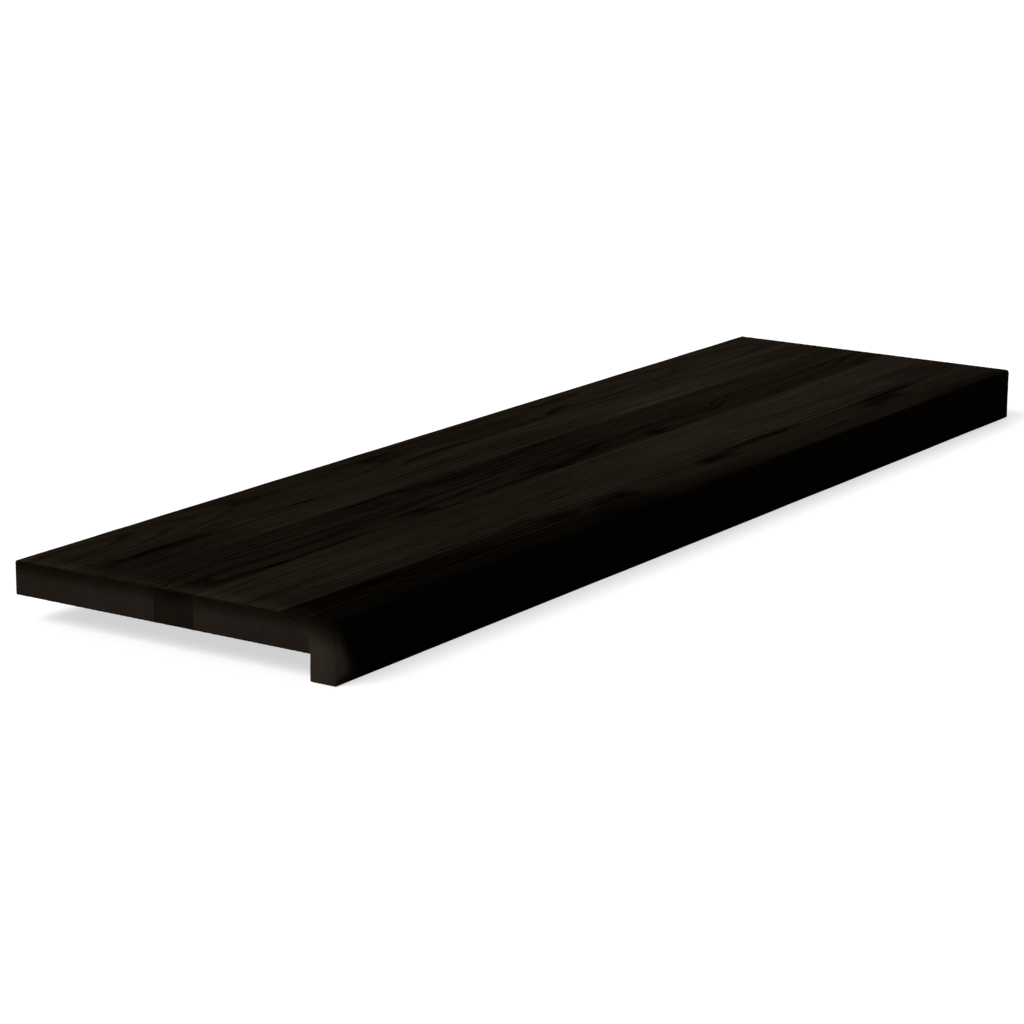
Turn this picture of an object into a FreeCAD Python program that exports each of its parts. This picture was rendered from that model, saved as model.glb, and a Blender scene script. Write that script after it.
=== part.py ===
"""Stair tread in solid oak: a board glued up from full-length staves, with a deeper nosing strip
along its front edge.

Lengths are in millimetres. X runs along the tread, Y from the nosing at the front to the back edge,
and Z up. The origin is at the middle of the tread's length and depth, level with the underside of
the nosing.
"""
import FreeCAD, Part
import os

# The tread as a whole
TREAD_LENGTH = 1100.0
BOARD_THICKNESS = 27.0

# The staves of the board, each with its width, from the back edge to the nosing
STAVE_1_WIDTH = 55.0
STAVE_2_WIDTH = 47.0
STAVE_3_WIDTH = 33.0
STAVE_4_WIDTH = 37.0
STAVE_5_WIDTH = 40.0
STAVE_6_WIDTH = 38.0
STAVE_7_WIDTH = 26.7

# The nosing strip, which stands on edge and hangs below the board
NOSING_THICKNESS = 23.3
NOSING_DROP = 20.5

# Rounding: the edge under the foot, and every other outer arris
NOSE_RADIUS = 3.0
ARRIS_RADIUS = 1.5

STAVES = (
    ("stave_1_back", STAVE_1_WIDTH),
    ("stave_2", STAVE_2_WIDTH),
    ("stave_3", STAVE_3_WIDTH),
    ("stave_4", STAVE_4_WIDTH),
    ("stave_5", STAVE_5_WIDTH),
    ("stave_6", STAVE_6_WIDTH),
    ("stave_7_front", STAVE_7_WIDTH),
)

BOARD_DEPTH = sum(width for _, width in STAVES)
TREAD_DEPTH = BOARD_DEPTH + NOSING_THICKNESS
NOSING_HEIGHT = BOARD_THICKNESS + NOSING_DROP

END_X = TREAD_LENGTH / 2
BACK_Y = TREAD_DEPTH / 2
FRONT_Y = -TREAD_DEPTH / 2
NOSING_JOINT_Y = FRONT_Y + NOSING_THICKNESS

TOLERANCE = 1e-4


def blank_tread():
    """The whole tread with sharp edges, drawn as its end section and drawn out along X."""
    section = (
        (FRONT_Y, 0.0),
        (NOSING_JOINT_Y, 0.0),
        (NOSING_JOINT_Y, NOSING_DROP),
        (BACK_Y, NOSING_DROP),
        (BACK_Y, NOSING_HEIGHT),
        (FRONT_Y, NOSING_HEIGHT),
    )
    corners = [FreeCAD.Vector(-END_X, y, z) for y, z in section]
    outline = Part.makePolygon(corners + corners[:1])
    return Part.Face(outline).extrude(FreeCAD.Vector(TREAD_LENGTH, 0, 0))


def runs_along_tread(edge):
    """True for an edge that goes from one end of the tread to the other."""
    return edge.BoundBox.XLength > TOLERANCE


def lies_at(edge, y, z):
    """True for an edge along the tread whose place in the end section is (y, z)."""
    middle = edge.BoundBox.Center
    return abs(middle.y - y) < TOLERANCE and abs(middle.z - z) < TOLERANCE


def round_nose(tread):
    """Rounds the top of the nosing, the edge that a foot comes down on."""
    edges = [edge for edge in tread.Edges
             if runs_along_tread(edge) and lies_at(edge, FRONT_Y, NOSING_HEIGHT)]
    return tread.makeFillet(NOSE_RADIUS, edges)


def ease_arrises(tread):
    """Takes the sharpness off the other outer arrises: four along the tread, and both sawn ends."""
    long_arrises = (
        (FRONT_Y, 0.0),
        (NOSING_JOINT_Y, 0.0),
        (BACK_Y, NOSING_DROP),
        (BACK_Y, NOSING_HEIGHT),
    )
    edges = [edge for edge in tread.Edges
             if not runs_along_tread(edge)
             or any(lies_at(edge, y, z) for y, z in long_arrises)]
    return tread.makeFillet(ARRIS_RADIUS, edges)


def slice_between(tread, front_y, back_y):
    """The piece of the tread that lies between two upright planes along X."""
    slab = Part.makeBox(TREAD_LENGTH, back_y - front_y, NOSING_HEIGHT,
                        FreeCAD.Vector(-END_X, front_y, 0.0))
    return tread.common(slab).Solids[0]


def glued_pieces(tread):
    """Each stave and the nosing strip by name, parted along the glue lines."""
    pieces = {}
    back_y = BACK_Y
    for name, width in STAVES:
        pieces[name] = slice_between(tread, back_y - width, back_y)
        back_y -= width
    pieces["nosing_strip"] = slice_between(tread, FRONT_Y, NOSING_JOINT_Y)
    return pieces


tread = ease_arrises(round_nose(blank_tread()))
os.makedirs("parts", exist_ok=True)
for name, piece in glued_pieces(tread).items():
    piece.exportStep("parts/" + name + ".step")
    print(name, "volume", round(piece.Volume), "valid", piece.isValid())
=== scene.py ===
"""A solid oak stair tread, stained near black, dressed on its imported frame.

The board is glued up from full-length staves, and a deeper nosing strip closes its front edge. Each piece
is sawn from an oak stem of its own. One rule counts the growth rings outwards from that stem's pith, and
both the brushed relief and the stain follow it, so the grooves lie where the dark lines are, and the lines
on the top run on into the end grain.

Places and sizes are in metres, except in the fields that say they are in mm.
"""

import logging
import math
from dataclasses import dataclass
from enum import Enum
from typing import Dict, List, Optional, Sequence, Tuple, Union

import bmesh
import bpy
from mathutils import Matrix, Vector


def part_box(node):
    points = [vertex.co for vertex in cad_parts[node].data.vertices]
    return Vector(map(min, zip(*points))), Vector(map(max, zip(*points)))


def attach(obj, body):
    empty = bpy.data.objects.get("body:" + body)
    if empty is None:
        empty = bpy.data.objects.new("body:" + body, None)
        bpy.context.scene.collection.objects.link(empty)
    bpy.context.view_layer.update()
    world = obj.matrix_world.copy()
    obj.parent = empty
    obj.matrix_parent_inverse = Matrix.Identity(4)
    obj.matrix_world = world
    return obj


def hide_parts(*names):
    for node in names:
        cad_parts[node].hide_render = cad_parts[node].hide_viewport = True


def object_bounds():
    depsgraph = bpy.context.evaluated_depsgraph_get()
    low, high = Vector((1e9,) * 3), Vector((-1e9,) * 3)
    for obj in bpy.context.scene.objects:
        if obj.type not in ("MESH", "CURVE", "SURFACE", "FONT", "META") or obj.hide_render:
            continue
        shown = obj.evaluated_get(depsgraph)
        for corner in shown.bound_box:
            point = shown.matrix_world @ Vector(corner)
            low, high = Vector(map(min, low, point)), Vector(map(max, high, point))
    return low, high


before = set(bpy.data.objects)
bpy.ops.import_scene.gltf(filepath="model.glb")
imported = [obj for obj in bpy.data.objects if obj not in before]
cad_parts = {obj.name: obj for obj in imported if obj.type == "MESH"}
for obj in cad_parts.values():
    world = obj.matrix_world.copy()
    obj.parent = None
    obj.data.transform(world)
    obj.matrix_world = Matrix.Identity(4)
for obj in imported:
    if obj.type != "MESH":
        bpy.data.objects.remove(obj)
CAD_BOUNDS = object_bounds()

log = logging.getLogger("stair_tread")

MM = 0.001
QUARTER_TURN = math.pi / 2

# The sRGB curve: a straight toe, and a power above it
SRGB_TOE = 0.04045
SRGB_SLOPE = 12.92
SRGB_OFFSET = 0.055
SRGB_POWER = 2.4
FULL_BYTE = 255

# Noise lies evenly to both sides of this value
NOISE_MIDDLE = 0.5

# The setting of a range that eases in and out
SMOOTH = {"interpolation_type": "SMOOTHSTEP"}

Pair = Tuple[float, float]
Triple = Tuple[float, float, float]
Node = bpy.types.Node
Socket = bpy.types.NodeSocket

# What differs from place to place: an output socket, or a node for the first of its outputs
Field = Union[Node, Socket]
Value = Union[float, Sequence[float], Field]


def linear(hex_colour: str) -> Tuple[float, float, float, float]:
    """Turns an sRGB hex colour to linear light.

    Args:
        hex_colour: Six hex digits after a hash sign.

    Returns:
        Linear red, green and blue, and an alpha of 1.
    """
    red, green, blue = [
        part / SRGB_SLOPE if part <= SRGB_TOE else ((part + SRGB_OFFSET) / (1 + SRGB_OFFSET)) ** SRGB_POWER
        for part in (byte / FULL_BYTE for byte in bytes.fromhex(hex_colour[1:]))
    ]
    return (red, green, blue, 1.0)


def put(name: str, data: bpy.types.ID) -> bpy.types.Object:
    """Puts an object with its mesh, lamp or camera into the scene.

    Args:
        name: The object's name.
        data: What it shows.

    Returns:
        The object.
    """
    made = bpy.data.objects.new(name, data)
    bpy.context.scene.collection.objects.link(made)
    return made


@dataclass
class Draft:
    """A node tree in the making.

    Attributes:
        tree: The node tree.
        place: The place, in metres, that its fields are worked out for.
        axes: The place's X, Y and Z by name, which only a material's tree needs.
    """

    tree: bpy.types.NodeTree
    place: Optional[Field] = None
    axes: Optional[bpy.types.bpy_prop_collection] = None

    @classmethod
    def of(cls, owner: Union[bpy.types.Material, bpy.types.World]) -> "Draft":
        """Starts the tree of a material or of the world afresh.

        Args:
            owner: The material or the world.

        Returns:
            The empty draft.
        """
        owner.use_nodes = True
        owner.node_tree.nodes.clear()
        return cls(owner.node_tree)

    def add(self, kind: str, inputs: Optional[Dict[object, Value]] = None, **settings: object) -> Node:
        """Adds a node with its settings, and gives each named input a value or a link.

        Args:
            kind: The node's type name.
            inputs: A value or a field for each input, by name or number.
            **settings: Properties set on the node before its inputs.

        Returns:
            The new node.
        """
        node = self.tree.nodes.new(kind)
        for name, value in settings.items():
            setattr(node, name, value)
        for key, value in (inputs or {}).items():
            if isinstance(value, Node):
                value = value.outputs[0]
            if isinstance(value, Socket):
                self.tree.links.new(value, node.inputs[key])
            else:
                node.inputs[key].default_value = value
        return node


class Stain(Enum):
    """The stain's colours, evenly spaced from where it lies thickest to where it is rubbed thin."""

    BROWN = ("#030201", "#0e0a06", "#1b1610", "#28221d", "#352e2a")
    BLACK = ("#030201", "#0d0a07", "#1a1510", "#28221b", "#362f29")


class Sawing(Enum):
    """How a piece was sawn: the pith's place from the piece's middle, across and up, in mm."""

    FLAT = (4.0, -52.0)
    RIFT = (60.0, -66.0)
    QUARTER = (-105.0, -12.0)


@dataclass(frozen=True)
class Mark:
    """A kind of mark in the wood, by the size of one mark in mm.

    Attributes:
        along: Its length along the grain.
        across: Its width across the grain.
        up: Its height, where that isn't its width.
        octaves: How many finer sizes come with it.
        page: Added to a stem's seed, so that two kinds of mark don't coincide.
    """

    along: float
    across: float
    up: Optional[float] = None
    octaves: float = 1.0
    page: float = 0.0

    def add(self, draft: Draft, seed: Value) -> Node:
        """Adds the noise that draws the marks.

        Args:
            draft: The tree in the making.
            seed: Picks the pattern.

        Returns:
            The noise node, with a single value first and three in its colour.
        """
        up = self.across if self.up is None else self.up
        per_metre = tuple(1 / (size * MM) for size in (self.along, self.across, up))
        drawn = draft.add("ShaderNodeVectorMath", {0: draft.place, 1: per_metre}, operation="MULTIPLY")
        return draft.add("ShaderNodeTexNoise",
                         {"Vector": drawn, "W": seed, "Scale": 1.0, "Detail": self.octaves},
                         noise_dimensions="4D")


@dataclass(frozen=True)
class Stem:
    """The oak stem that a piece was sawn from, which its growth rings follow.

    Attributes:
        pith: The pith's place at the middle of the tread's length.
        lean: Turn of the pith's line about each axis, in radians.
        ring_width: Thickness of one year's growth.
        knot: Middle of a pin knot.
        knot_reach: How far the knot bends the rings along X, Y and Z.
        knot_rings: How many rings the knot bulges by; none where it is 0.
        seed: Picks the stem's own waviness.
    """

    pith: Value
    lean: Value
    ring_width: Value
    knot: Value
    knot_reach: Value
    knot_rings: Value
    seed: Value

    # The stem's crookedness, and the finer unevenness of each ring, in ring widths
    SWAY = Mark(along=286.0, across=167.0)
    SWAY_REACH = (0.0, 14 * MM, 14 * MM)
    RIPPLE = Mark(along=111.0, across=12.5, octaves=2.0)
    RIPPLE_RINGS = 1.5

    # Leaves the place across the stem and drops the place along it
    ACROSS_ONLY = (0.0, 1.0, 1.0)

    def ring_count(self, draft: Draft) -> Node:
        """Adds the nodes that count the growth rings from the pith out to the place.

        Args:
            draft: A material's tree or a geometry tree.

        Returns:
            The number of rings, with its fraction.
        """
        centred = draft.add("ShaderNodeVectorMath", {0: draft.place, 1: self.pith}, operation="SUBTRACT")
        turned = draft.add("ShaderNodeVectorRotate", {"Vector": centred, "Rotation": self.lean},
                           rotation_type="EULER_XYZ")
        sway = self.SWAY.add(draft, self.seed).outputs["Color"]
        swayed = draft.add("ShaderNodeVectorMath", {0: sway, 1: self.SWAY_REACH, 2: turned},
                           operation="MULTIPLY_ADD")
        across = draft.add("ShaderNodeVectorMath", {0: swayed, 1: self.ACROSS_ONLY}, operation="MULTIPLY")
        radius = draft.add("ShaderNodeVectorMath", {0: across}, operation="LENGTH").outputs["Value"]
        rings = draft.add("ShaderNodeMath", {0: radius, 1: self.ring_width}, operation="DIVIDE")
        ripple = self.RIPPLE.add(draft, self.seed)
        rippled = draft.add("ShaderNodeMath", {0: ripple, 1: self.RIPPLE_RINGS, 2: rings},
                            operation="MULTIPLY_ADD")
        from_knot = draft.add("ShaderNodeVectorMath", {0: draft.place, 1: self.knot},
                              operation="SUBTRACT")
        in_reach = draft.add("ShaderNodeVectorMath", {0: from_knot, 1: self.knot_reach},
                             operation="DIVIDE")
        distance = draft.add("ShaderNodeVectorMath", {0: in_reach}, operation="LENGTH").outputs["Value"]
        near = draft.add("ShaderNodeMapRange", {"Value": distance, "To Min": 1.0, "To Max": 0.0},
                         interpolation_type="SMOOTHERSTEP")
        return draft.add("ShaderNodeMath", {0: near, 1: self.knot_rings, 2: rippled},
                         operation="MULTIPLY_ADD")


@dataclass(frozen=True)
class Streak:
    """A dark or pale streak along the grain, in mm in the tread's own frame.

    Attributes:
        start: X where it begins.
        end: X where it ends.
        across: Y of its middle.
        width: Half its width.
        shade: What it adds to the stain's scale; below 0 it is darker.
    """

    start: float
    end: float
    across: float
    width: float
    shade: float

    # How it wavers along the grain, by how many half widths, and never more than a narrow streak does
    WAVER = Mark(along=55.6, across=16.7, up=math.inf, octaves=3.0)
    WANDER = 2.4
    WIDEST_WANDER = 6.0

    # How much of its length it takes to fade in or out, and where and how far it thins on the way
    FADE_SHARE = 0.35
    THIN_FROM = 0.3
    FULL_FROM = 0.6
    THIN_SHARE = 0.35

    def add_to(self, draft: Draft, shade: Field) -> Node:
        """Adds the streak to a shade.

        Args:
            draft: The material's tree.
            shade: The shade so far.

        Returns:
            The shade with the streak.
        """
        waver = self.WAVER.add(draft, self.across)
        wander = self.WANDER * min(self.width, self.WIDEST_WANDER)
        wandered = draft.add("ShaderNodeMath", {0: waver, 1: wander * MM, 2: draft.axes["Y"]},
                             operation="MULTIPLY_ADD")
        middle = (self.across + NOISE_MIDDLE * wander) * MM
        off = draft.add("ShaderNodeMath", {0: wandered, 1: middle}, operation="SUBTRACT")
        away = draft.add("ShaderNodeMath", {0: off}, operation="ABSOLUTE")
        body = draft.add("ShaderNodeMapRange",
                         {"Value": away, "From Max": self.width * MM, "To Min": 1.0, "To Max": 0.0},
                         **SMOOTH)
        along = draft.axes["X"]
        fade = self.FADE_SHARE * (self.end - self.start)
        entry = draft.add("ShaderNodeMapRange",
                          {"Value": along, "From Min": self.start * MM,
                           "From Max": (self.start + fade) * MM}, **SMOOTH)
        leave = draft.add("ShaderNodeMapRange",
                          {"Value": along, "From Min": (self.end - fade) * MM, "From Max": self.end * MM,
                           "To Min": self.shade, "To Max": 0.0}, **SMOOTH)
        span = draft.add("ShaderNodeMath", {0: entry, 1: leave}, operation="MULTIPLY")
        thinned = draft.add("ShaderNodeMapRange",
                            {"Value": waver.outputs["Color"], "From Min": self.THIN_FROM,
                             "From Max": self.FULL_FROM, "To Min": self.THIN_SHARE}, **SMOOTH)
        broken = draft.add("ShaderNodeMath", {0: span, 1: thinned}, operation="MULTIPLY")
        return draft.add("ShaderNodeMath", {0: body, 1: broken, 2: shade}, operation="MULTIPLY_ADD")


@dataclass(frozen=True)
class Tone:
    """The stain's drift along a piece, in mm in the tread's own frame, on the scale from 0 to 1. On the
    front pieces its dark near end is painted shade along the front edge.

    Attributes:
        left: Shade at the left.
        right: Shade at the right.
        start: X where it begins to change.
        end: X where it has changed.
        slant: How far the change moves along X for each mm towards the back.
    """

    left: float
    right: float
    start: float = -550.0
    end: float = 550.0
    slant: float = 0.0

    def add(self, draft: Draft, middle: float) -> Node:
        """Adds the nodes for the drift.

        Args:
            draft: The material's tree.
            middle: Y at which the change begins and ends as stated.

        Returns:
            The shade.
        """
        back = draft.add("ShaderNodeMath", {0: draft.axes["Y"], 1: middle}, operation="SUBTRACT")
        slid = draft.add("ShaderNodeMath", {0: back, 1: self.slant, 2: draft.axes["X"]},
                         operation="MULTIPLY_ADD")
        return draft.add("ShaderNodeMapRange",
                         {"Value": slid, "From Min": self.start * MM, "From Max": self.end * MM,
                          "To Min": self.left, "To Max": self.right})


@dataclass(frozen=True)
class Knot:
    """A pin knot, which bulges the rings around it.

    Attributes:
        place: Its middle, in mm in the tread's own frame.
        rings: How many rings it bulges by.
        reach: How far it bends them along X, Y and Z, in mm.
    """

    place: Triple = (0.0, 0.0, 0.0)
    rings: float = 0.0
    reach: Triple = (70.0, 13.0, 60.0)


@dataclass(frozen=True)
class Timber:
    """How one piece of the tread was sawn, and how it took the stain.

    Attributes:
        node: The piece's node in the frame.
        sawing: How it was sawn from its stem.
        ring_width: Thickness of one year's growth, in mm.
        lean: Turn of the pith's line about each axis, in degrees.
        seed: Picks the stem's own waviness and marks.
        tone: Shade of the long grain, from 0, black, to 1, the palest.
        end_shade: Shade of the sawn ends.
        figure: How strongly the rings mark the long grain.
        fibre: How strongly finer streaks mark it.
        mirrored: True where the pith lies to the other side than the sawing says.
        knot: The piece's knot.
        streaks: Dark and pale streaks along the grain.
        stain: The stain's colours.
    """

    node: str
    sawing: Sawing
    ring_width: float
    lean: Triple
    seed: float
    tone: Tone
    end_shade: float
    figure: float = 0.12
    fibre: float = 0.4
    mirrored: bool = False
    knot: Knot = Knot()
    streaks: Tuple[Streak, ...] = ()
    stain: Stain = Stain.BROWN

    def middle(self) -> Vector:
        """Gives the middle of the piece."""
        low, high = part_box(self.node)
        return (low + high) / 2

    def stem(self) -> Stem:
        """Places the stem by the piece that was sawn from it.

        Returns:
            The stem, in metres and radians.
        """
        across, up = self.sawing.value
        side = -1 if self.mirrored else 1
        middle = self.middle()
        return Stem(
            pith=(0.0, middle.y + side * across * MM, middle.z + up * MM),
            lean=tuple(math.radians(turn) for turn in self.lean),
            ring_width=self.ring_width * MM,
            knot=tuple(place * MM for place in self.knot.place),
            knot_reach=tuple(reach * MM for reach in self.knot.reach),
            knot_rings=self.knot.rings,
            seed=self.seed,
        )


@dataclass(frozen=True)
class StainedOak:
    """European oak, planed and brushed, stained near black under an oil that dries dead matt.

    The stain lies thick in the open pores of the spring wood and thin on the dense summer wood, which
    gives the eye fine dark lines on a brown black. The oil leaves no gloss, even where the top is seen at
    a low angle, so the surface has no mirror-like part at all.

    Attributes:
        timber: How the piece was sawn and how it took the stain.
    """

    timber: Timber

    # Spring wood takes up this much of each year's growth, and shades off into the summer wood
    SPRING_SHARE = 0.6
    SPRING_LINE = -1.0
    SUMMER_LINE = 0.4

    # The rings show in some stretches and are all but lost in others
    SHOWING = Mark(along=250.0, across=20.0, page=1.0)
    SHOWING_FROM = 0.35
    SHOWING_FULL = 0.62
    LEAST_SHOWING = 0.2

    # Broad clouds in the stain, and fine fibre lines
    CLOUD = Mark(along=312.0, across=38.5, up=50.0, octaves=2.0, page=2.0)
    CLOUD_WEIGHT = 0.36
    FIBRE = Mark(along=143.0, across=8.3, octaves=4.0, page=4.0)

    # Real pores are 0.3 mm wide. They are drawn three times as wide, since finer ones don't show at all
    PORE = Mark(along=14.3, across=0.91)
    PORE_FROM = 0.56
    PORE_FULL = 0.68
    SPRING_CROWDING = 0.12
    SUMMER_CROWDING = -0.05
    PORE_SHARE = 0.25
    PORE_WEIGHT = -0.12
    PORE_DEPTH = 0.12 * MM
    PORE_RELIEF = 0.5

    # Roughness of the oiled wood, and of the raw insides of its pores
    WOOD_ROUGHNESS = 0.82
    PORE_ROUGHNESS = 0.98

    # A painted highlight on a strip behind the near arris. The arris itself stays dark
    PAINTED_HIGHLIGHT_FROM = 3.5 * MM
    PAINTED_HIGHLIGHT_TO = 6 * MM
    PAINTED_HIGHLIGHT_UNTIL = 24 * MM
    PAINTED_HIGHLIGHT_GAIN = 0.15

    # Cut fibres on the sawn ends, drawn 1 mm wide where real ones are a fifth of that, and clouds there
    END_DOT = Mark(along=50.0, across=1.1, page=1.0)
    END_DOT_WEIGHT = 0.24
    END_CLOUD = Mark(along=50.0, across=16.7, octaves=2.0, page=2.0)
    END_CLOUD_WEIGHT = 0.2
    END_RING_WEIGHT = 0.06

    # Painted shade down the sawn ends from the upper arris, from below the top to above it
    PAINTED_SHADE_LOW = -14 * MM
    PAINTED_SHADE_HIGH = 0 * MM
    PAINTED_SHADE_SHARE = 0.46

    # How far a face turns towards X before it takes the stain as end grain does
    END_FROM = 0.1
    END_FULL = 0.6

    def stem(self) -> Stem:
        """Gives the stem that the piece was sawn from."""
        return self.timber.stem()

    def material(self) -> bpy.types.Material:
        """Builds the material.

        Returns:
            The material, which reads Object coordinates.
        """
        made = bpy.data.materials.new("brushed_oak_black_stain_" + self.timber.node)
        draft = Draft.of(made)
        draft.place = draft.add("ShaderNodeTexCoord").outputs["Object"]
        draft.axes = draft.add("ShaderNodeSeparateXYZ", {0: draft.place}).outputs
        year = draft.add("ShaderNodeMath", {0: self.stem().ring_count(draft)}, operation="FRACT")
        pores = self.pores(draft, year)
        shade = draft.add("ShaderNodeMix", {
            "Factor": self.end_mask(draft),
            "A": self.long_grain(draft, year, pores),
            "B": self.end_grain(draft, year),
        })
        rough = draft.add("ShaderNodeMapRange",
                          {"Value": pores, "To Min": self.WOOD_ROUGHNESS, "To Max": self.PORE_ROUGHNESS})
        height = draft.add("ShaderNodeMath", {0: pores, 1: -1.0}, operation="MULTIPLY")
        bump = draft.add("ShaderNodeBump",
                         {"Strength": self.PORE_RELIEF, "Distance": self.PORE_DEPTH, "Height": height})
        surface = draft.add("ShaderNodeBsdfPrincipled", {
            "Base Color": self.colour(draft, shade),
            "Roughness": rough,
            "Normal": bump,
            "Specular IOR Level": 0.0,
        })
        draft.add("ShaderNodeOutputMaterial", {"Surface": surface})
        return made

    def draw(self, draft: Draft, mark: Mark) -> Node:
        """Draws one kind of mark, picked by the piece's own seed."""
        return mark.add(draft, self.timber.seed + mark.page)

    def pores(self, draft: Draft, year: Field) -> Node:
        """Adds the open pores: dashes along the grain, crowded in each ring's spring wood.

        Args:
            draft: The material's tree.
            year: How far through its year's growth the place is, from 0 to 1.

        Returns:
            1 in a pore and 0 between them.
        """
        spring = draft.add("ShaderNodeMapRange",
                           {"Value": year, "From Max": self.SPRING_SHARE, "To Min": self.SPRING_CROWDING,
                            "To Max": self.SUMMER_CROWDING}, **SMOOTH)
        crowded = draft.add("ShaderNodeMath", {0: self.draw(draft, self.PORE), 1: spring},
                            operation="ADD")
        return draft.add("ShaderNodeMapRange",
                         {"Value": crowded, "From Min": self.PORE_FROM, "From Max": self.PORE_FULL},
                         **SMOOTH)

    def long_grain(self, draft: Draft, year: Field, pores: Field) -> Node:
        """Adds the shade of the faces along the grain.

        Args:
            draft: The material's tree.
            year: How far through its year's growth the place is.
            pores: 1 in an open pore.

        Returns:
            The shade, from 0 to 1.
        """
        line = draft.add("ShaderNodeMapRange",
                         {"Value": year, "From Max": self.SPRING_SHARE, "To Min": self.SPRING_LINE,
                          "To Max": self.SUMMER_LINE}, **SMOOTH)
        showing = draft.add("ShaderNodeMapRange",
                            {"Value": self.draw(draft, self.SHOWING), "From Min": self.SHOWING_FROM,
                             "From Max": self.SHOWING_FULL, "To Min": self.LEAST_SHOWING}, **SMOOTH)
        figure = draft.add("ShaderNodeMath", {0: line, 1: showing}, operation="MULTIPLY")
        shade = self.add_terms(draft, self.timber.tone.add(draft, self.timber.middle().y), (
            (self.draw(draft, self.CLOUD), NOISE_MIDDLE, self.CLOUD_WEIGHT),
            (self.draw(draft, self.FIBRE), NOISE_MIDDLE, self.timber.fibre),
            (figure, 0.0, self.timber.figure),
            (pores, self.PORE_SHARE, self.PORE_WEIGHT),
            # A painted highlight behind the near arris
            (self.painted_end_highlight(draft), 0.0, self.PAINTED_HIGHLIGHT_GAIN),
        ))
        for streak in self.timber.streaks:
            shade = streak.add_to(draft, shade)
        return shade

    def painted_end_highlight(self, draft: Draft) -> Node:
        """Adds the strip along the near end that takes a painted highlight.

        Args:
            draft: The material's tree.

        Returns:
            1 in the strip and 0 past it.
        """
        near = CAD_BOUNDS[0].x
        along = draft.axes["X"]
        rise = draft.add("ShaderNodeMapRange",
                         {"Value": along, "From Min": near, "From Max": near + self.PAINTED_HIGHLIGHT_FROM}, **SMOOTH)
        fall = draft.add("ShaderNodeMapRange",
                         {"Value": along, "From Min": near + self.PAINTED_HIGHLIGHT_TO,
                          "From Max": near + self.PAINTED_HIGHLIGHT_UNTIL, "To Min": 1.0, "To Max": 0.0}, **SMOOTH)
        return draft.add("ShaderNodeMath", {0: rise, 1: fall}, operation="MULTIPLY")

    def add_terms(self, draft: Draft, shade: Field, terms: Sequence[Tuple[Field, float, float]]) -> Field:
        """Adds fields to a shade.

        Args:
            draft: The material's tree.
            shade: The shade so far.
            terms: Each field, the value at which it changes nothing, and its weight.

        Returns:
            The shade with every field added.
        """
        for field, middle, weight in terms:
            offset = draft.add("ShaderNodeMath", {0: field, 1: middle}, operation="SUBTRACT")
            shade = draft.add("ShaderNodeMath", {0: offset, 1: weight, 2: shade}, operation="MULTIPLY_ADD")
        return shade

    def end_grain(self, draft: Draft, year: Field) -> Field:
        """Adds the shade of the sawn ends, with painted shade along the upper arris.

        Args:
            draft: The material's tree.
            year: How far through its year's growth the place is.

        Returns:
            The shade, from 0 to 1.
        """
        return self.add_terms(draft, self.end_tone_with_painted_shade(draft), (
            (year, NOISE_MIDDLE, self.END_RING_WEIGHT),
            (self.draw(draft, self.END_DOT), NOISE_MIDDLE, self.END_DOT_WEIGHT),
            (self.draw(draft, self.END_CLOUD), NOISE_MIDDLE, self.END_CLOUD_WEIGHT),
        ))

    def end_tone_with_painted_shade(self, draft: Draft) -> Node:
        """Adds the end grain's own shade, with painted shade that falls towards the upper arris.

        Args:
            draft: The material's tree.

        Returns:
            The shade.
        """
        top = CAD_BOUNDS[1].z
        end_shade = self.timber.end_shade
        return draft.add("ShaderNodeMapRange",
                         {"Value": self.painted_shade_height(draft), "From Min": top + self.PAINTED_SHADE_LOW,
                          "From Max": top + self.PAINTED_SHADE_HIGH, "To Min": end_shade,
                          "To Max": self.PAINTED_SHADE_SHARE * end_shade}, **SMOOTH)

    def painted_shade_height(self, draft: Draft) -> Field:
        """Gives the height that the painted shade goes by."""
        return draft.axes["Z"]

    def end_mask(self, draft: Draft) -> Node:
        """Adds the mask of the sawn ends, which face along X.

        Args:
            draft: The material's tree.

        Returns:
            1 on the sawn ends and 0 on the long faces.
        """
        facing = draft.add("ShaderNodeNewGeometry").outputs["True Normal"]
        either_way = draft.add("ShaderNodeVectorMath", {0: facing}, operation="ABSOLUTE")
        along = draft.add("ShaderNodeSeparateXYZ", {0: either_way}).outputs["X"]
        return draft.add("ShaderNodeMapRange",
                         {"Value": along, "From Min": self.END_FROM, "From Max": self.END_FULL}, **SMOOTH)

    def colour(self, draft: Draft, shade: Field) -> Node:
        """Adds the stain's colour scale.

        Args:
            draft: The material's tree.
            shade: The shade, from 0 to 1.

        Returns:
            The colour.
        """
        scale = draft.add("ShaderNodeValToRGB", {0: shade})
        stops = scale.color_ramp.elements
        colours = self.timber.stain.value
        last = len(colours) - 1
        for i in range(1, last):
            stops.new(i / last)
        for stop, colour in zip(stops, colours):
            stop.color = linear(colour)
        return scale


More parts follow.
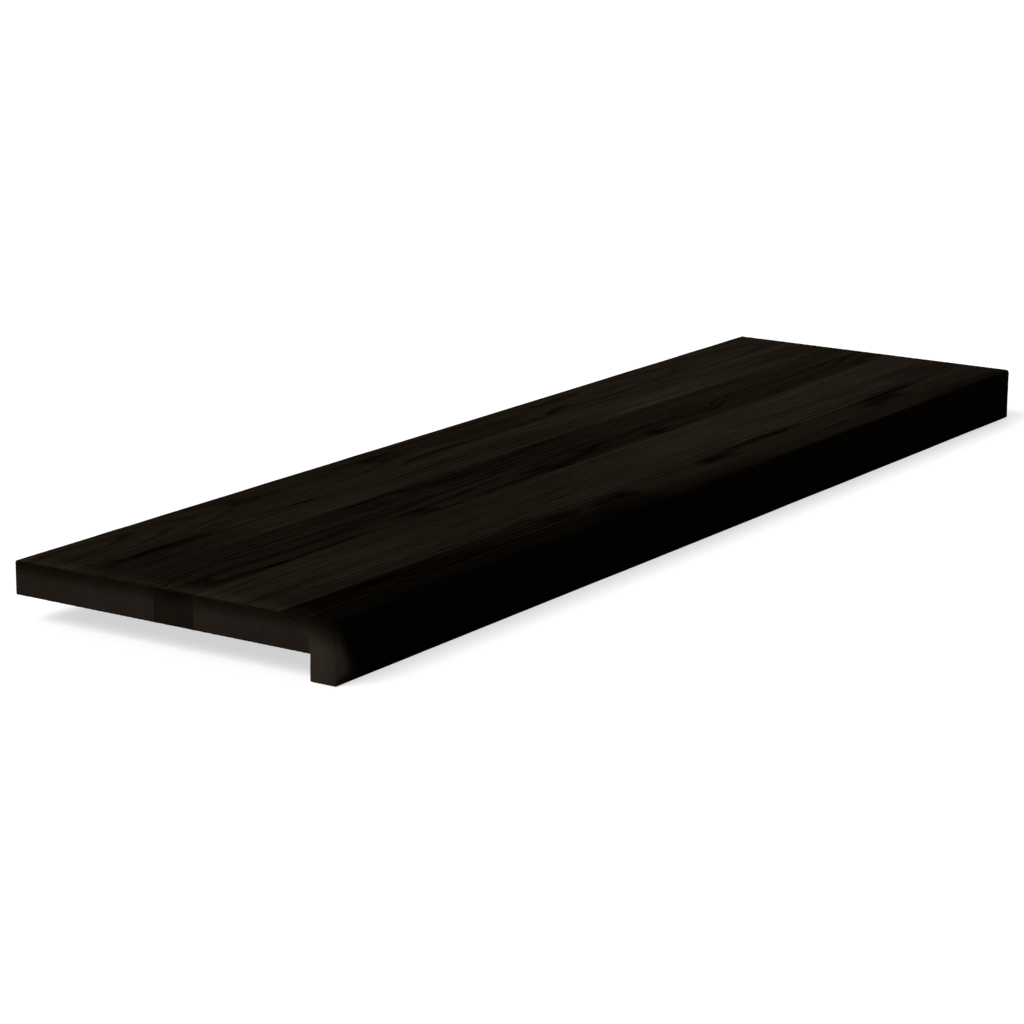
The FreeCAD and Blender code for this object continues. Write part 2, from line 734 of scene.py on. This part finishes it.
@dataclass(frozen=True)
class NosingOak(StainedOak):
    """The same oak on the nosing strip, with painted shade on its front.

    The front face is painted all but black, as shade. Painted shade runs further down the end than on the
    board, most of all towards the front, and a painted highlight lies below that and a little way round
    the near corner, which gives the eye a soft brown patch there.
    """

    # Painted shade on the front: what it keeps of the shade, its least shade, and which Y of the normal is
    # all front or none
    FRONT_SHARE = 0.25
    FRONT_LEAST = 0.07
    FRONT_FULL = -0.95
    FRONT_NONE = -0.15

    # The painted highlight round the near corner: how far it reaches along the front at the foot and at
    # the top, how pale it is, and which Y of the normal takes all of it or none
    CORNER_HIGHLIGHT_REACH_FOOT = 37 * MM
    CORNER_HIGHLIGHT_REACH_TOP = 8 * MM
    CORNER_HIGHLIGHT_GAIN = 1.6
    CORNER_HIGHLIGHT_FULL = -0.98
    CORNER_HIGHLIGHT_NONE = -0.6

    # Painted shade halves that highlight along the foot, and darkens the end from this far forward to the
    # front arris
    FOOT_FROM = 3 * MM
    FOOT_FULL = 10.5 * MM
    FOOT_SHARE = 0.5
    ARRIS_FROM = 0.45
    ARRIS_SHARE = 0.88

    # The painted shade down the end, and how much lower it reaches at the front
    PAINTED_SHADE_LOW = -22 * MM
    PAINTED_SHADE_HIGH = 6 * MM
    PAINTED_SHADE_SHARE = 0.175
    PAINTED_SHADE_SAG = 7 * MM

    # The painted highlight along the near end is weaker than the board's
    PAINTED_HIGHLIGHT_TO = 0 * MM
    PAINTED_HIGHLIGHT_UNTIL = 9 * MM
    PAINTED_HIGHLIGHT_GAIN = 0.1

    def facing(self, draft: Draft, full: float, none: float, at_full: float, at_none: float) -> Node:
        """Adds a value that changes as a face turns away from the front.

        Args:
            draft: The material's tree.
            full: Y of the normal at which it still has its value for the front.
            none: Y of the normal at which it has its value for every other face.
            at_full: The value for the front.
            at_none: The value for every other face.

        Returns:
            The value.
        """
        normal = draft.add("ShaderNodeNewGeometry").outputs["True Normal"]
        backward = draft.add("ShaderNodeSeparateXYZ", {0: normal}).outputs["Y"]
        return draft.add("ShaderNodeMapRange",
                         {"Value": backward, "From Min": full, "From Max": none, "To Min": at_full,
                          "To Max": at_none}, **SMOOTH)

    def long_grain(self, draft: Draft, year: Field, pores: Field) -> Node:
        """Adds the shade of the faces along the grain, with painted shade on the front.

        Args:
            draft: The material's tree.
            year: How far through its year's growth the place is.
            pores: 1 in an open pore.

        Returns:
            The shade, from 0 to 1.
        """
        shade = super().long_grain(draft, year, pores)
        # Painted shade: the front keeps a share of the shade, and no less than its least shade
        share = self.facing(draft, self.FRONT_FULL, self.FRONT_NONE, self.FRONT_SHARE, 1.0)
        least = self.facing(draft, self.FRONT_FULL, self.FRONT_NONE, self.FRONT_LEAST, 0.0)
        return draft.add("ShaderNodeMath", {0: shade, 1: share, 2: least}, operation="MULTIPLY_ADD")

    def end_grain(self, draft: Draft, year: Field) -> Node:
        """Adds the shade of the sawn ends with their painted shade, and the painted highlight on the
        front.

        Args:
            draft: The material's tree.
            year: How far through its year's growth the place is.

        Returns:
            The shade, from 0 to 1.
        """
        # Painted shade darkens the end towards the front arris; the front takes the painted highlight's
        # gain
        arris = draft.add("ShaderNodeMapRange",
                          {"Value": self.forward(draft), "From Min": self.ARRIS_FROM, "To Min": 1.0,
                           "To Max": self.ARRIS_SHARE})
        shade = super().end_grain(draft, year)
        darker = draft.add("ShaderNodeMath", {0: shade, 1: arris}, operation="MULTIPLY")
        gain = self.facing(draft, self.CORNER_HIGHLIGHT_FULL, self.CORNER_HIGHLIGHT_NONE, self.CORNER_HIGHLIGHT_GAIN, 1.0)
        return draft.add("ShaderNodeMath", {0: darker, 1: gain}, operation="MULTIPLY")

    def forward(self, draft: Draft) -> Node:
        """Adds how far forward the place lies on the strip.

        Args:
            draft: The material's tree.

        Returns:
            0 at the glue line and 1 at the front.
        """
        low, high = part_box(self.timber.node)
        return draft.add("ShaderNodeMapRange",
                         {"Value": draft.axes["Y"], "From Min": high.y, "From Max": low.y})

    def painted_shade_height(self, draft: Draft) -> Node:
        """Adds the height that the painted shade goes by, which sags in a curve towards the front.

        Args:
            draft: The material's tree.

        Returns:
            The height in metres.
        """
        forward = self.forward(draft)
        curve = draft.add("ShaderNodeMath", {0: forward, 1: forward}, operation="MULTIPLY")
        return draft.add("ShaderNodeMath", {0: curve, 1: self.PAINTED_SHADE_SAG, 2: draft.axes["Z"]},
                         operation="MULTIPLY_ADD")

    def end_mask(self, draft: Draft) -> Node:
        """Adds the mask of the paler end, which runs round the near corner on to the front as a painted
        highlight.

        Args:
            draft: The material's tree.

        Returns:
            1 on the sawn ends and 0 on the long faces.
        """
        low, high = CAD_BOUNDS
        along, height = draft.axes["X"], draft.axes["Z"]
        # The painted highlight round the near corner, reaching further along the front towards the foot
        reach = draft.add("ShaderNodeMapRange",
                          {"Value": height, "From Min": low.z, "From Max": high.z,
                           "To Min": low.x + self.CORNER_HIGHLIGHT_REACH_FOOT, "To Max": low.x + self.CORNER_HIGHLIGHT_REACH_TOP})
        corner_highlight = draft.add("ShaderNodeMapRange",
                           {"Value": along, "From Min": low.x, "From Max": reach, "To Min": 1.0,
                            "To Max": 0.0}, **SMOOTH)
        # Painted shade halves that highlight along the foot
        foot = draft.add("ShaderNodeMapRange",
                         {"Value": height, "From Min": low.z + self.FOOT_FROM,
                          "From Max": low.z + self.FOOT_FULL, "To Min": self.FOOT_SHARE}, **SMOOTH)
        shaped = draft.add("ShaderNodeMath", {0: corner_highlight, 1: foot}, operation="MULTIPLY")
        front = self.facing(draft, self.CORNER_HIGHLIGHT_FULL, self.CORNER_HIGHLIGHT_NONE, 1.0, 0.0)
        on_front = draft.add("ShaderNodeMath", {0: shaped, 1: front}, operation="MULTIPLY")
        return draft.add("ShaderNodeMath", {0: on_front, 1: super().end_mask(draft)}, operation="MAXIMUM")


@dataclass(frozen=True)
class Corner:
    """A corner of a piece's end section.

    Attributes:
        across: Its Y.
        up: Its Z.
        rounding: Radius of the arris, 0 where it is sharp.
        insets: How the corner moves where the ends are eased, in place of what its two sides give. A glue
            line that runs into a free face needs two.
    """

    across: float
    up: float
    rounding: float = 0.0
    insets: Tuple[Pair, ...] = ()


@dataclass(frozen=True)
class Side:
    """A side of a piece's end section, from one corner to the next.

    Attributes:
        pitch: Spacing of the points along it.
        glued: True where another piece is glued to it, so that it has no relief and isn't eased.
    """

    pitch: float
    glued: bool = False


class BrushedRelief:
    """The brushed relief: spring wood worn lower than summer wood, ring by ring, on every free face."""

    INWARD = "inward"

    # The tree's inputs. The stem's own stand in the order of its fields
    STEM_INPUTS = {
        "Pith": "NodeSocketVector",
        "Lean": "NodeSocketVector",
        "Ring width": "NodeSocketFloat",
        "Knot": "NodeSocketVector",
        "Knot reach": "NodeSocketVector",
        "Knot rings": "NodeSocketFloat",
        "Seed": "NodeSocketFloat",
    }
    INPUTS = {
        "Geometry": "NodeSocketGeometry",
        **STEM_INPUTS,
        "Groove depth": "NodeSocketFloat",
        "Finish": "NodeSocketMaterial",
    }

    def __init__(self) -> None:
        """Builds the geometry tree that all the pieces share."""
        self.tree = bpy.data.node_groups.new("brushed_relief", "GeometryNodeTree")
        self.sockets: Dict[str, str] = {}
        for name, kind in self.INPUTS.items():
            socket = self.tree.interface.new_socket(name, in_out="INPUT", socket_type=kind)
            self.sockets[name] = socket.identifier
        self.tree.interface.new_socket("Geometry", in_out="OUTPUT", socket_type="NodeSocketGeometry")
        self.build()

    def build(self) -> None:
        """Adds the nodes: each point moves inwards by the groove's depth at its place in the ring."""
        draft = Draft(self.tree)
        given = draft.add("NodeGroupInput").outputs
        draft.place = draft.add("GeometryNodeInputPosition")
        stem = Stem(*(given[name] for name in self.STEM_INPUTS))
        angle = draft.add("ShaderNodeMath", {0: stem.ring_count(draft), 1: math.tau}, operation="MULTIPLY")
        wave = draft.add("ShaderNodeMath", {0: angle}, operation="COSINE")
        groove = draft.add("ShaderNodeMapRange", {"Value": wave, "From Min": -1.0})
        depth = draft.add("ShaderNodeMath", {0: groove, 1: given["Groove depth"]}, operation="MULTIPLY")
        inward = draft.add("GeometryNodeInputNamedAttribute", {"Name": self.INWARD},
                           data_type="FLOAT_VECTOR")
        offset = draft.add("ShaderNodeVectorMath", {0: inward, "Scale": depth}, operation="SCALE")
        shaped = draft.add("GeometryNodeSetPosition", {"Geometry": given["Geometry"], "Offset": offset})
        real = draft.add("GeometryNodeRealizeInstances", {0: shaped})
        finished = draft.add("GeometryNodeSetMaterial", {"Geometry": real, "Material": given["Finish"]})
        draft.add("NodeGroupOutput", {0: finished})

    def carve(self, piece: bpy.types.Object, finish: StainedOak, groove_depth: float) -> None:
        """Carves a piece and turns the result to a plain mesh.

        Args:
            piece: The piece, whose mesh says which way is inwards.
            finish: The piece's finish, whose stem the rings follow.
            groove_depth: Depth of the brushed spring wood.
        """
        modifier = piece.modifiers.new("relief", "NODES")
        modifier.node_group = self.tree
        values = dict(zip(self.STEM_INPUTS, vars(finish.stem()).values()))
        values.update({"Groove depth": groove_depth, "Finish": finish.material()})
        for name, value in values.items():
            modifier[self.sockets[name]] = value
        ready = piece.evaluated_get(bpy.context.evaluated_depsgraph_get())
        carved = bpy.data.meshes.new_from_object(ready)
        piece.modifiers.remove(modifier)
        piece.data = carved
        carved.attributes.remove(carved.attributes[self.INWARD])


@dataclass
class Lath:
    """One length of oak in the tread: a section drawn out along X, with both sawn ends eased.

    Attributes:
        node: The node that it stands for.
        slot: The record's material slot; not used.
        finish: The oak's finish.
        back_glued: True where another piece is glued to its back.
        arris: Radius of the eased arrises.
        station: Spacing of the sections along the length.
        fine: Spacing of the points across a face that shows.
        coarse: Spacing of the points across a face underneath.
        groove_depth: Depth of the brushed spring wood.
    """

    node: str
    slot: str
    finish: StainedOak
    back_glued: bool = True
    arris: float = 1.5 * MM
    station: float = 3.5 * MM
    fine: float = 0.6 * MM
    coarse: float = 1.6 * MM
    groove_depth: float = 0.16 * MM

    ARC_STEPS = 4
    MERGE_WITHIN = 0.001 * MM
    SHARP_FROM = math.radians(40)
    FLAT_END = 0.999

    def section(self) -> Tuple[List[Corner], List[Side]]:
        """Draws the stave's end section, from the lower front corner round under it.

        Returns:
            The corners, and the side that follows each of them.
        """
        low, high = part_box(self.node)
        back = 0.0 if self.back_glued else self.arris
        corners = [
            Corner(low.y, low.z),
            Corner(high.y, low.z, back),
            Corner(high.y, high.z, back),
            Corner(low.y, high.z),
        ]
        sides = [
            Side(self.coarse),
            Side(self.fine, self.back_glued),
            Side(self.fine),
            Side(self.fine, True),
        ]
        return corners, sides

    def outline(self) -> List[Tuple[Vector, Vector]]:
        """Sets points round the section.

        Returns:
            Each point, with the way that it moves where the piece is eased or brushed.
        """
        corners, sides = self.section()
        places = [Vector((corner.across, corner.up)) for corner in corners]
        runs = [following - place for place, following in zip(places, places[1:] + places[:1])]
        ways = [run.normalized() for run in runs]
        normals = [Vector((way.y, -way.x)) for way in ways]
        points: List[Tuple[Vector, Vector]] = []
        for i, corner in enumerate(corners):
            side = sides[i]
            following = corners[(i + 1) % len(corners)]
            points += self.round_corner(corner, normals[i - 1], normals[i], sides[i - 1].glued,
                                        side.glued)
            first = places[i] + ways[i] * corner.rounding
            span = runs[i].length - corner.rounding - following.rounding
            steps = 1 if side.glued else max(1, round(span / side.pitch))
            for k in range(1, steps):
                points.append((first + ways[i] * span * k / steps, -normals[i]))
        return points

    def round_corner(self, corner: Corner, before: Vector, after: Vector, before_glued: bool,
                     after_glued: bool) -> List[Tuple[Vector, Vector]]:
        """Sets the points of one corner.

        Args:
            corner: The corner.
            before: Outward normal of the side before it.
            after: Outward normal of the side after it.
            before_glued: True where the side before is glued.
            after_glued: True where the side after is glued.

        Returns:
            The corner's points, each with the way that it moves.
        """
        place = Vector((corner.across, corner.up))
        if corner.insets:
            return [(place, Vector(inset)) for inset in corner.insets]
        if not corner.rounding:
            inset = Vector((0.0, 0.0))
            if not before_glued:
                inset -= before
            if not after_glued:
                inset -= after
            return [(place, inset)]
        steps = max(self.ARC_STEPS, round(corner.rounding * QUARTER_TURN / self.fine))
        centre = place - corner.rounding * (before + after)
        points = []
        for k in range(steps + 1):
            turn = QUARTER_TURN * k / steps
            radial = before * math.cos(turn) + after * math.sin(turn)
            points.append((centre + corner.rounding * radial, -radial))
        return points

    def stations(self) -> List[Pair]:
        """Sets the sections along the length.

        Returns:
            The X of each section and how far it is eased inwards.
        """
        low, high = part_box(self.node)
        eased = []
        for k in range(self.ARC_STEPS):
            turn = QUARTER_TURN * k / self.ARC_STEPS
            eased.append((self.arris * (1 - math.cos(turn)), self.arris * (1 - math.sin(turn))))
        straight = high.x - low.x - 2 * self.arris
        count = round(straight / self.station)
        rows = [(low.x + reach, inset) for reach, inset in eased]
        rows += [(low.x + self.arris + straight * k / count, 0.0) for k in range(count + 1)]
        rows += [(high.x - reach, inset) for reach, inset in reversed(eased)]
        return rows

    def build(self, relief: BrushedRelief) -> bpy.types.Object:
        """Builds the piece, carves its relief and gives it its finish.

        Args:
            relief: The relief that the pieces share.

        Returns:
            The finished piece.
        """
        piece = put("oak_" + self.node, self.skin())
        relief.carve(piece, self.finish, self.groove_depth)
        piece.data.set_sharp_from_angle(angle=self.SHARP_FROM)
        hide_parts(self.node)
        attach(piece, "root")
        return piece

    def skin(self) -> bpy.types.Mesh:
        """Makes the closed mesh of the piece before it is brushed.

        Returns:
            The mesh, with the inward direction of each point as an attribute.
        """
        outline = self.outline()
        rows = self.stations()
        ring = len(outline)
        places = []
        inward = []
        for x, inset in rows:
            for point, way in outline:
                moved = point + way * inset
                places.append((x, moved.x, moved.y))
                inward.append((0.0, way.x, way.y))
        faces = [tuple(reversed(range(ring))), tuple(range(ring * (len(rows) - 1), ring * len(rows)))]
        for start in range(0, ring * (len(rows) - 1), ring):
            for k in range(ring):
                here, following = start + k, start + (k + 1) % ring
                faces.append((here, following, following + ring, here + ring))
        mesh = bpy.data.meshes.new(self.node)
        mesh.from_pydata(places, [], faces)
        attribute = mesh.attributes.new(BrushedRelief.INWARD, "FLOAT_VECTOR", "POINT")
        attribute.data.foreach_set("vector", [value for way in inward for value in way])
        work = bmesh.new()
        work.from_mesh(mesh)
        bmesh.ops.remove_doubles(work, verts=work.verts, dist=self.MERGE_WITHIN)
        bmesh.ops.recalc_face_normals(work, faces=work.faces)
        for face in work.faces:
            face.smooth = abs(face.normal.x) < self.FLAT_END
        work.to_mesh(mesh)
        work.free()
        return mesh


@dataclass
class NosingStrip(Lath):
    """The strip along the front: it stands on edge, and its top front edge is rounded for the foot.

    Attributes:
        drop: How far it hangs below the board.
        nose: Radius of the edge under the foot.
    """

    drop: float = 0.0
    nose: float = 3.0 * MM

    def section(self) -> Tuple[List[Corner], List[Side]]:
        """Draws the strip's end section, from the lower front corner round under it.

        Returns:
            The corners, and the side that follows each of them.
        """
        low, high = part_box(self.node)
        corners = [
            Corner(low.y, low.z, self.arris),
            Corner(high.y, low.z, self.arris),
            Corner(high.y, low.z + self.drop, insets=((-1.0, 1.0), (0.0, 1.0))),
            Corner(high.y, high.z),
            Corner(low.y, high.z, self.nose),
        ]
        sides = [
            Side(self.coarse),
            Side(self.coarse),
            Side(self.fine, True),
            Side(self.fine),
            Side(self.fine),
        ]
        return corners, sides


@dataclass
class Tread:
    """The whole tread: seven staves and the nosing strip.

    Attributes:
        board_slot: The record's material slot of the staves.
        nosing_slot: The record's material slot of the nosing strip.
        staves: The timber of each stave, from the back edge to the front.
        nosing: The timber of the nosing strip.
    """

    board_slot: str = "board_oak"
    nosing_slot: str = "nosing_oak"
    staves: Tuple[Timber, ...] = (
        Timber(
            node="stave_1_back", sawing=Sawing.FLAT, ring_width=3.6, lean=(0.0, -0.9, 0.6), seed=3.1,
            tone=Tone(0.42, 0.53), end_shade=0.62,
            streaks=(
                Streak(start=-400.0, end=120.0, across=122.0, width=40.0, shade=-0.12),
                Streak(start=-90.0, end=220.0, across=112.0, width=20.0, shade=-0.17),
            ),
        ),
        Timber(
            node="stave_2", sawing=Sawing.RIFT, ring_width=4.2, lean=(0.0, 0.4, 0.3), seed=7.7,
            tone=Tone(0.42, 0.56), end_shade=0.68, figure=0.10,
            streaks=(
                Streak(start=-543.0, end=-375.0, across=84.0, width=6.0, shade=-0.38),
                Streak(start=-350.0, end=-240.0, across=84.0, width=4.0, shade=-0.22),
                Streak(start=-420.0, end=-180.0, across=52.0, width=3.0, shade=0.16),
                Streak(start=90.0, end=350.0, across=54.0, width=4.5, shade=0.24),
                Streak(start=-640.0, end=-340.0, across=72.0, width=30.0, shade=-0.19),
                Streak(start=-190.0, end=90.0, across=64.0, width=32.0, shade=-0.1),
                Streak(start=80.0, end=400.0, across=72.0, width=30.0, shade=0.1),
                Streak(start=400.0, end=700.0, across=65.0, width=34.0, shade=-0.14),
            ),
        ),
        Timber(
            node="stave_3", sawing=Sawing.RIFT, mirrored=True, ring_width=4.0, lean=(0.0, -0.3, 0.5),
            seed=12.4, tone=Tone(0.33, 0.40), end_shade=0.68, fibre=0.36,
            streaks=(
                Streak(start=-300.0, end=-170.0, across=43.0, width=2.5, shade=-0.40),
                Streak(start=-480.0, end=-330.0, across=25.0, width=3.0, shade=-0.16),
                Streak(start=-60.0, end=60.0, across=43.0, width=2.5, shade=-0.30),
                Streak(start=-440.0, end=160.0, across=31.0, width=26.0, shade=-0.18),
            ),
        ),
        Timber(
            node="stave_4", sawing=Sawing.FLAT, mirrored=True, ring_width=3.6, lean=(0.0, 1.1, 0.4),
            seed=18.9, tone=Tone(0.30, 0.36), end_shade=0.47, fibre=0.36,
            knot=Knot(place=(195.0, 6.0, 47.0), rings=3.0),
            streaks=(
                Streak(start=-490.0, end=-310.0, across=-17.5, width=3.0, shade=-0.32),
                Streak(start=-230.0, end=-50.0, across=-16.0, width=3.0, shade=-0.22),
                Streak(start=-105.0, end=-45.0, across=-6.0, width=6.0, shade=-0.22),
                Streak(start=120.0, end=200.0, across=-15.0, width=2.5, shade=-0.24),
                Streak(start=340.0, end=410.0, across=-14.0, width=4.0, shade=-0.2),
                Streak(start=-240.0, end=380.0, across=-3.0, width=28.0, shade=-0.11),
                Streak(start=270.0, end=700.0, across=-20.0, width=9.0, shade=0.14),
            ),
        ),
        Timber(
            node="stave_5", sawing=Sawing.RIFT, ring_width=4.4, lean=(0.0, 0.5, -0.3), seed=23.6,
            tone=Tone(0.48, 0.60), end_shade=0.66, figure=0.06, fibre=0.26,
            streaks=(
                Streak(start=230.0, end=380.0, across=-30.0, width=6.0, shade=0.12),
                Streak(start=-420.0, end=80.0, across=-42.0, width=30.0, shade=-0.11),
                Streak(start=-400.0, end=40.0, across=-60.0, width=9.0, shade=-0.14),
            ),
        ),
        Timber(
            node="stave_6", sawing=Sawing.QUARTER, ring_width=4.6, lean=(0.0, 0.2, 0.9), seed=29.3,
            tone=Tone(0.42, 0.55), end_shade=0.65, figure=0.27, fibre=0.46,
            streaks=(
                Streak(start=-240.0, end=30.0, across=-67.0, width=18.0, shade=-0.12),
                Streak(start=60.0, end=400.0, across=-77.0, width=22.0, shade=0.12),
                Streak(start=400.0, end=700.0, across=-78.0, width=30.0, shade=-0.19),
                Streak(start=-430.0, end=-120.0, across=-97.0, width=7.0, shade=-0.14),
                Streak(start=60.0, end=240.0, across=-99.0, width=6.0, shade=-0.34),
                Streak(start=310.0, end=455.0, across=-99.0, width=6.0, shade=-0.3),
            ),
        ),
        Timber(
            node="stave_7_front", sawing=Sawing.RIFT, mirrored=True, ring_width=4.0, lean=(0.0, -0.4, 0.2),
            # Its dark near end is painted shade along the front edge, reaching further along towards the
            # front
            seed=34.8, tone=Tone(0.04, 0.42, start=-430.0, end=-70.0, slant=7.0), end_shade=0.64,
            figure=0.14,
            streaks=(
                Streak(start=-240.0, end=-160.0, across=-112.0, width=15.0, shade=-0.2),
                Streak(start=-170.0, end=-78.0, across=-114.0, width=18.0, shade=-0.32),
                Streak(start=16.0, end=90.0, across=-110.0, width=13.0, shade=-0.42),
                Streak(start=45.0, end=225.0, across=-102.0, width=6.0, shade=-0.5),
                Streak(start=298.0, end=412.0, across=-113.0, width=18.0, shade=-0.29),
                Streak(start=320.0, end=450.0, across=-102.0, width=5.0, shade=-0.36),
            ),
        ),
    )
    nosing: Timber = Timber(
        node="nosing_strip", sawing=Sawing.QUARTER, mirrored=True, ring_width=3.8, lean=(0.0, 0.3, 0.4),
        # Its dark near end is painted shade along the front edge, reaching further along towards the front
        seed=41.5, tone=Tone(0.07, 0.38, start=-220.0, end=100.0, slant=6.0), end_shade=0.88,
        streaks=(
            Streak(start=-210.0, end=-70.0, across=-138.0, width=20.0, shade=-0.12),
            Streak(start=190.0, end=260.0, across=-130.0, width=2.5, shade=-0.16),
            Streak(start=360.0, end=640.0, across=-143.0, width=12.0, shade=-0.16),
        ),
        stain=Stain.BLACK,
    )

    def laths(self) -> List[Lath]:
        """Lists the tread's pieces with their finishes, from the back edge to the front.

        Returns:
            The pieces.
        """
        back = self.staves[0]
        laths: List[Lath] = [
            Lath(stave.node, self.board_slot, StainedOak(stave), back_glued=stave is not back)
            for stave in self.staves
        ]
        board_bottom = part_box(back.node)[0].z
        nosing_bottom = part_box(self.nosing.node)[0].z
        laths.append(NosingStrip(self.nosing.node, self.nosing_slot, NosingOak(self.nosing),
                                 drop=board_bottom - nosing_bottom))
        return laths

    def build(self) -> List[bpy.types.Object]:
        """Builds and dresses every piece, and gives the finished pieces."""
        relief = BrushedRelief()
        return [lath.build(relief) for lath in self.laths()]


@dataclass
class Studio:
    """Pale floor, soft lamps and the camera.

    Attributes:
        floor_reach: Half the floor's side.
        floor_colour: Colour of the floor's paint, which takes the shadow.
        glow: What the floor gives off to the eye alone, which makes it white outside the shadow.
        key: Light of the large lamp to the left and behind, on a surface that faces it.
        key_way: Direction to that lamp.
        fill: Light of the lamp to the right and behind, on a surface that faces it.
        fill_way: Direction to that lamp.
        ambient: Light from the surroundings.
        softness: How wide each lamp looks from the tread, in degrees.
        camera_place: Where the camera stands.
        camera_heading: How far it is turned from Y towards X, in degrees.
        camera_dip: How far it looks down, in degrees.
        camera_roll: How far it is rolled, in degrees.
        camera_lens: Its focal length in mm.
        camera_far: How far it sees.
    """

    floor_reach: float = 30.0
    floor_colour: str = "#bcbcbc"
    glow: float = 0.62
    key: float = 0.79
    key_way: Triple = (-0.62, 0.3, 0.72)
    fill: float = 0.2
    fill_way: Triple = (0.6, 0.45, 0.66)
    ambient: float = 0.3
    softness: float = 38.0
    camera_place: Triple = (-2.312, -1.4654, 0.6734)
    camera_heading: float = 56.473
    camera_dip: float = 13.938
    camera_roll: float = 0.407
    camera_lens: float = 114.33
    camera_far: float = 200.0

    WHITE = "#ffffff"
    MATRIX_SIZE = 4

    def build(self) -> None:
        """Sets the whole studio."""
        self.lay_floor()
        self.light_surroundings()
        self.hang_lamp("key_lamp", self.key_way, self.key)
        self.hang_lamp("fill_lamp", self.fill_way, self.fill)
        self.set_camera()
        bpy.context.scene.view_settings.view_transform = "Standard"

    def lay_floor(self) -> None:
        """Lays the floor: white to the eye, with the tread's shadow, and clear from below."""
        reach = self.floor_reach
        mesh = bpy.data.meshes.new("floor")
        corners = [(-reach, -reach, 0.0), (reach, -reach, 0.0), (reach, reach, 0.0), (-reach, reach, 0.0)]
        mesh.from_pydata(corners, [], [(0, 1, 2, 3)])
        paint = bpy.data.materials.new("pale_floor_paint")
        draft = Draft.of(paint)
        matt = draft.add("ShaderNodeBsdfDiffuse", {"Color": linear(self.floor_colour)})
        glow = draft.add("ShaderNodeEmission",
                         {"Color": linear(self.WHITE), "Strength": self.seen(draft, self.glow)})
        both = draft.add("ShaderNodeAddShader", {0: matt, 1: glow})
        below = draft.add("ShaderNodeNewGeometry").outputs["Backfacing"]
        clear = draft.add("ShaderNodeBsdfTransparent")
        sided = draft.add("ShaderNodeMixShader", {0: below, 1: both, 2: clear})
        draft.add("ShaderNodeOutputMaterial", {"Surface": sided})
        mesh.materials.append(paint)
        floor = put("floor", mesh)

    def seen(self, draft: Draft, strength: float) -> Node:
        """Adds a strength that only the camera, reflections and see-through materials meet.

        Args:
            draft: The floor's or the surroundings' tree.
            strength: The strength that they meet.

        Returns:
            That strength for them, and 0 for the light that falls on the object.
        """
        rays = draft.add("ShaderNodeLightPath").outputs
        either = draft.add("ShaderNodeMath", {0: rays["Is Camera Ray"], 1: rays["Is Glossy Ray"]},
                           operation="MAXIMUM")
        any_ray = draft.add("ShaderNodeMath", {0: either, 1: rays["Is Transmission Ray"]},
                            operation="MAXIMUM")
        return draft.add("ShaderNodeMath", {0: any_ray, 1: strength}, operation="MULTIPLY")

    def light_surroundings(self) -> None:
        """Makes the surroundings white to the eye and a weak even light on the tread."""
        world = bpy.data.worlds.new("surroundings")
        bpy.context.scene.world = world
        draft = Draft.of(world)
        white = linear(self.WHITE)
        even = draft.add("ShaderNodeBackground", {"Color": white, "Strength": self.ambient})
        bright = draft.add("ShaderNodeBackground", {"Color": white, "Strength": 1.0})
        both = draft.add("ShaderNodeMixShader", {0: self.seen(draft, 1.0), 1: even, 2: bright})
        draft.add("ShaderNodeOutputWorld", {"Surface": both})

    def hang_lamp(self, name: str, way: Triple, light: float) -> None:
        """Hangs a large soft lamp that faces the tread.

        Args:
            name: The lamp's name.
            way: Direction from the tread to the lamp.
            light: Light on a surface that faces the lamp, where 1 renders a colour as it is written.
        """
        lamp = bpy.data.lights.new(name, "SUN")
        lamp.angle = math.radians(self.softness)
        lamp.energy = light * math.pi
        hung = put(name, lamp)
        hung.location = way
        hung.rotation_euler = Vector(way).to_track_quat("Z", "Y").to_euler()

    def set_camera(self) -> None:
        """Sets the camera where the photograph was taken from."""
        eye = bpy.data.cameras.new("camera")
        eye.lens = self.camera_lens
        eye.clip_end = self.camera_far
        camera = put("camera", eye)
        turn = Matrix.Rotation(math.radians(-self.camera_heading), self.MATRIX_SIZE, "Z")
        dip = Matrix.Rotation(QUARTER_TURN - math.radians(self.camera_dip), self.MATRIX_SIZE, "X")
        roll = Matrix.Rotation(math.radians(self.camera_roll), self.MATRIX_SIZE, "Z")
        camera.matrix_world = Matrix.Translation(self.camera_place) @ turn @ dip @ roll
        bpy.context.scene.camera = camera


def main() -> None:
    """Builds the tread and the studio around it, and reports each piece."""
    logging.basicConfig(level=logging.INFO, format="%(name)s: %(message)s")
    for piece in Tread().build():
        log.info("%s: %d faces", piece.name, len(piece.data.polygons))
    Studio().build()


if __name__ == "__main__":
    main()
